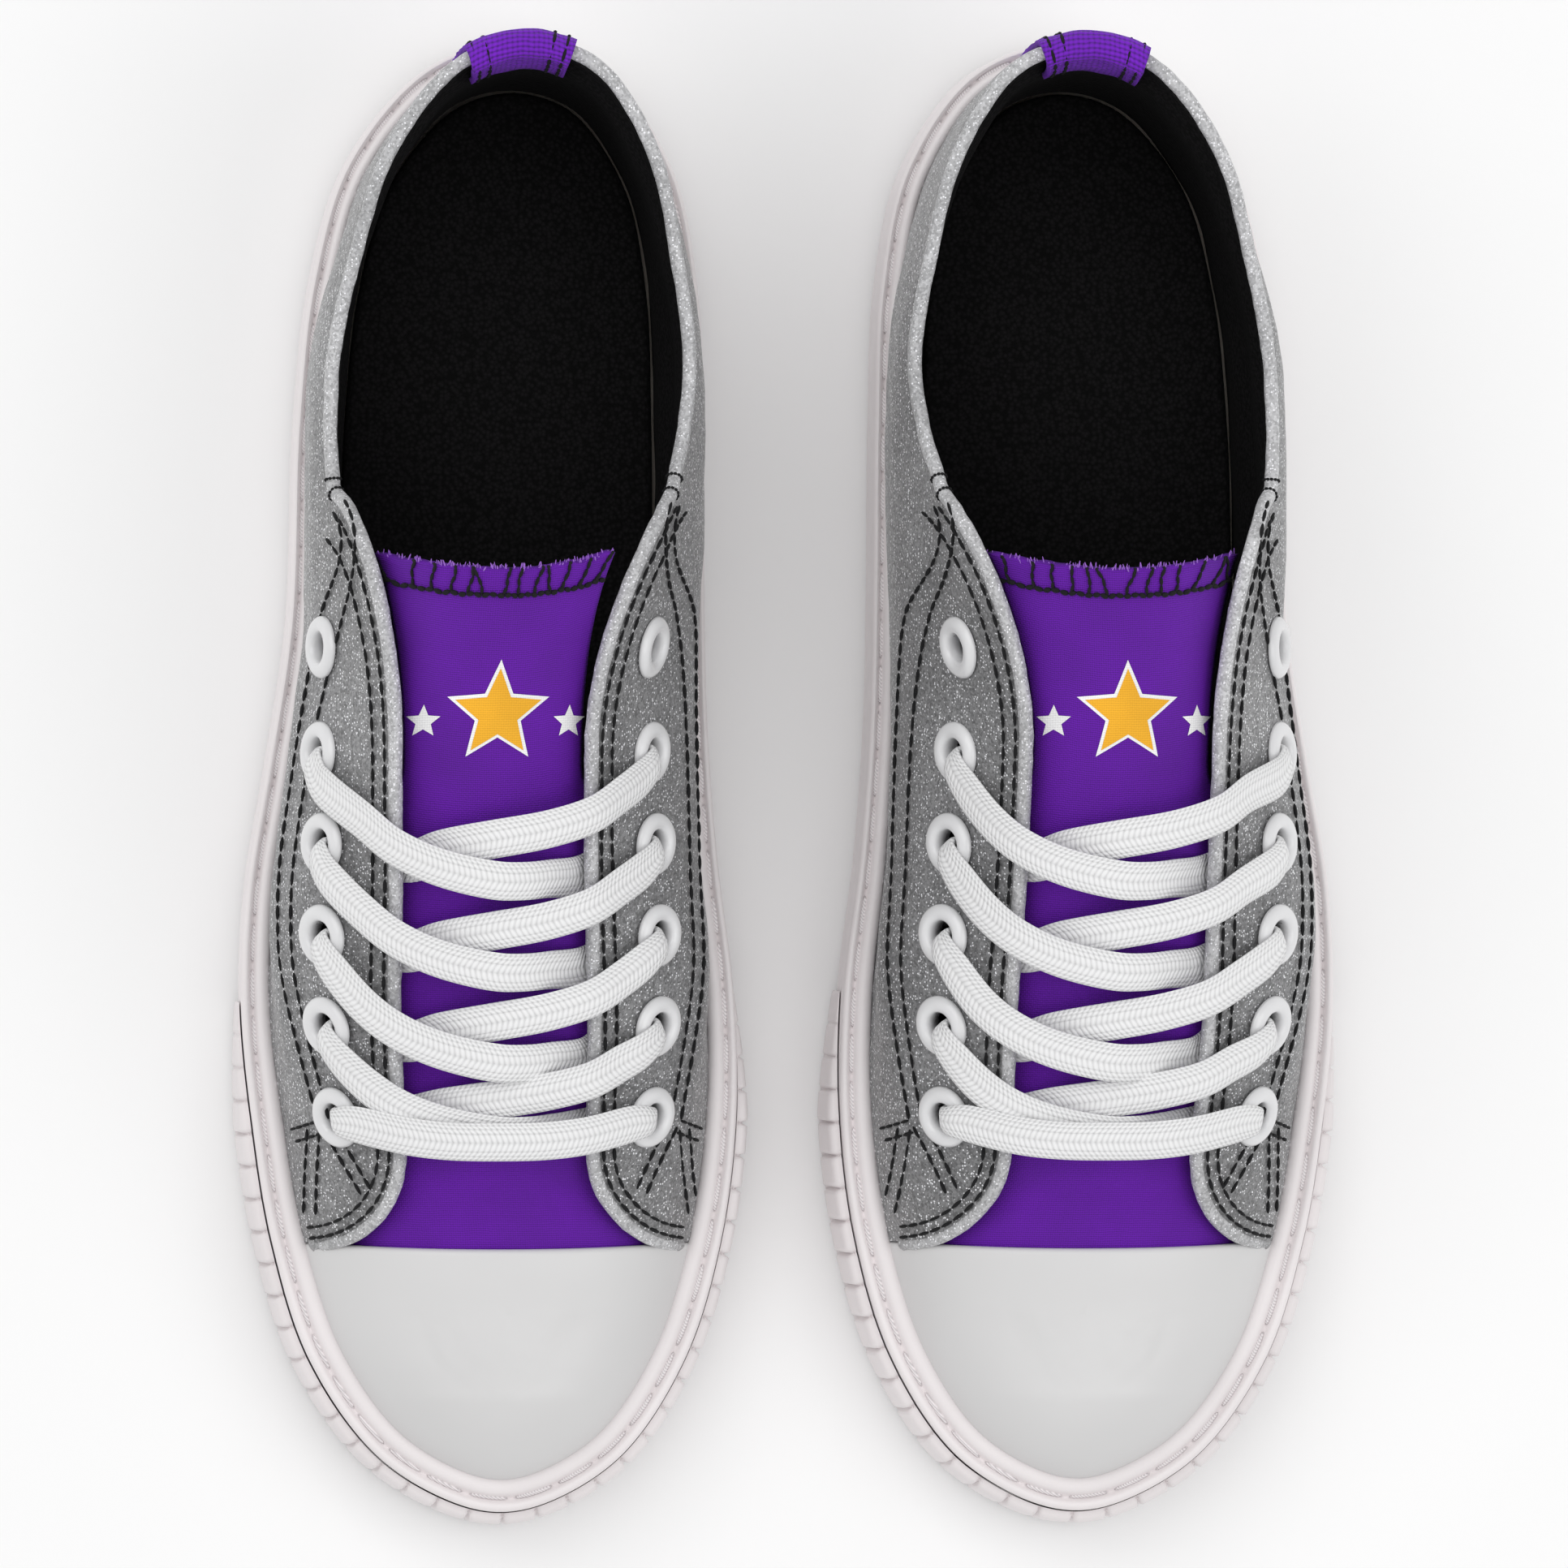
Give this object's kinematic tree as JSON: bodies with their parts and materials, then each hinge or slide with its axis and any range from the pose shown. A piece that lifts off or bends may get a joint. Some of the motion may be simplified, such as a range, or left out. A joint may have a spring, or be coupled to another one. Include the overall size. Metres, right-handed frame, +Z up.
{
  "type": "pair of cheer shoes",
  "caption": "Pair of low-top lace-up cheer shoes in silver glitter canvas with purple tongue and vamp, rubber toe caps, stitched off-white cup soles and ribbed toe bumpers.",
  "frame": {"origin": "on the floor, under the middle of the pair's bounding box", "axes": "+Z up from the floor, toes towards -Y, heels towards +Y, the wearer's right shoe on the -X side"},
  "size_m": [0.2038, 0.2745, 0.0909],
  "materials": {
    "sidewall_rubber": "smooth off-white vulcanised rubber",
    "tread_rubber": "ribbed off-white rubber",
    "cap_rubber": "smooth pale grey rubber",
    "glitter_canvas": "grey canvas coated with fine silver glitter",
    "silver_binding": "silver glitter tape",
    "purple_canvas": "plain woven cotton canvas",
    "black_lining": "fine black knit",
    "white_lace": "flat woven cotton",
    "white_enamel": "gloss white enamel",
    "midsole_foam": "foam",
    "insole_board": "pressed fibre board"
  },
  "bodies": {
    "right_shoe": {"right_outsole": "tread_rubber", "right_midsole": "midsole_foam", "right_sidewall": "sidewall_rubber", "right_toe_bumper": "tread_rubber", "right_insole_board": "insole_board", "right_sockliner": "black_lining", "right_toe_cap": "cap_rubber", "right_vamp": "purple_canvas", "right_tongue_base": "purple_canvas", "right_lateral_quarter": "glitter_canvas", "right_medial_quarter": "glitter_canvas", "right_heel_counter": "insole_board", "right_lining": "black_lining", "right_edge_binding": "silver_binding", "right_heel_strip": "purple_canvas", "right_lace": "white_lace", "right_lateral_eyelet_1": "white_enamel", "right_lateral_eyelet_2": "white_enamel", "right_lateral_eyelet_3": "white_enamel", "right_lateral_eyelet_4": "white_enamel", "right_lateral_eyelet_5": "white_enamel", "right_lateral_eyelet_6": "white_enamel", "right_medial_eyelet_1": "white_enamel", "right_medial_eyelet_2": "white_enamel", "right_medial_eyelet_3": "white_enamel", "right_medial_eyelet_4": "white_enamel", "right_medial_eyelet_5": "white_enamel", "right_medial_eyelet_6": "white_enamel"},
    "right_tongue": {"right_tongue_top": "purple_canvas"},
    "left_shoe": {"left_outsole": "tread_rubber", "left_midsole": "midsole_foam", "left_sidewall": "sidewall_rubber", "left_toe_bumper": "tread_rubber", "left_insole_board": "insole_board", "left_sockliner": "black_lining", "left_toe_cap": "cap_rubber", "left_vamp": "purple_canvas", "left_tongue_base": "purple_canvas", "left_lateral_quarter": "glitter_canvas", "left_medial_quarter": "glitter_canvas", "left_heel_counter": "insole_board", "left_lining": "black_lining", "left_edge_binding": "silver_binding", "left_heel_strip": "purple_canvas", "left_lace": "white_lace", "left_lateral_eyelet_1": "white_enamel", "left_lateral_eyelet_2": "white_enamel", "left_lateral_eyelet_3": "white_enamel", "left_lateral_eyelet_4": "white_enamel", "left_lateral_eyelet_5": "white_enamel", "left_lateral_eyelet_6": "white_enamel", "left_medial_eyelet_1": "white_enamel", "left_medial_eyelet_2": "white_enamel", "left_medial_eyelet_3": "white_enamel", "left_medial_eyelet_4": "white_enamel", "left_medial_eyelet_5": "white_enamel", "left_medial_eyelet_6": "white_enamel"},
    "left_tongue": {"left_tongue_top": "purple_canvas"}
  },
  "joints": [
    {"name": "left_shoe_lift", "type": "slide", "parent": "right_shoe", "child": "left_shoe", "axis": [0, 0, 1], "range_m": [0, 0.15]},
    {"name": "right_tongue_fold", "type": "hinge", "parent": "right_shoe", "child": "right_tongue", "pos_m": [-0.0547, 0.004, 0.078], "axis": [1, 0, 0], "range_deg": [0, 100]},
    {"name": "left_tongue_fold", "type": "hinge", "parent": "left_shoe", "child": "left_tongue", "pos_m": [0.0547, 0.004, 0.078], "axis": [1, 0, 0], "range_deg": [0, 100]}
  ]
}
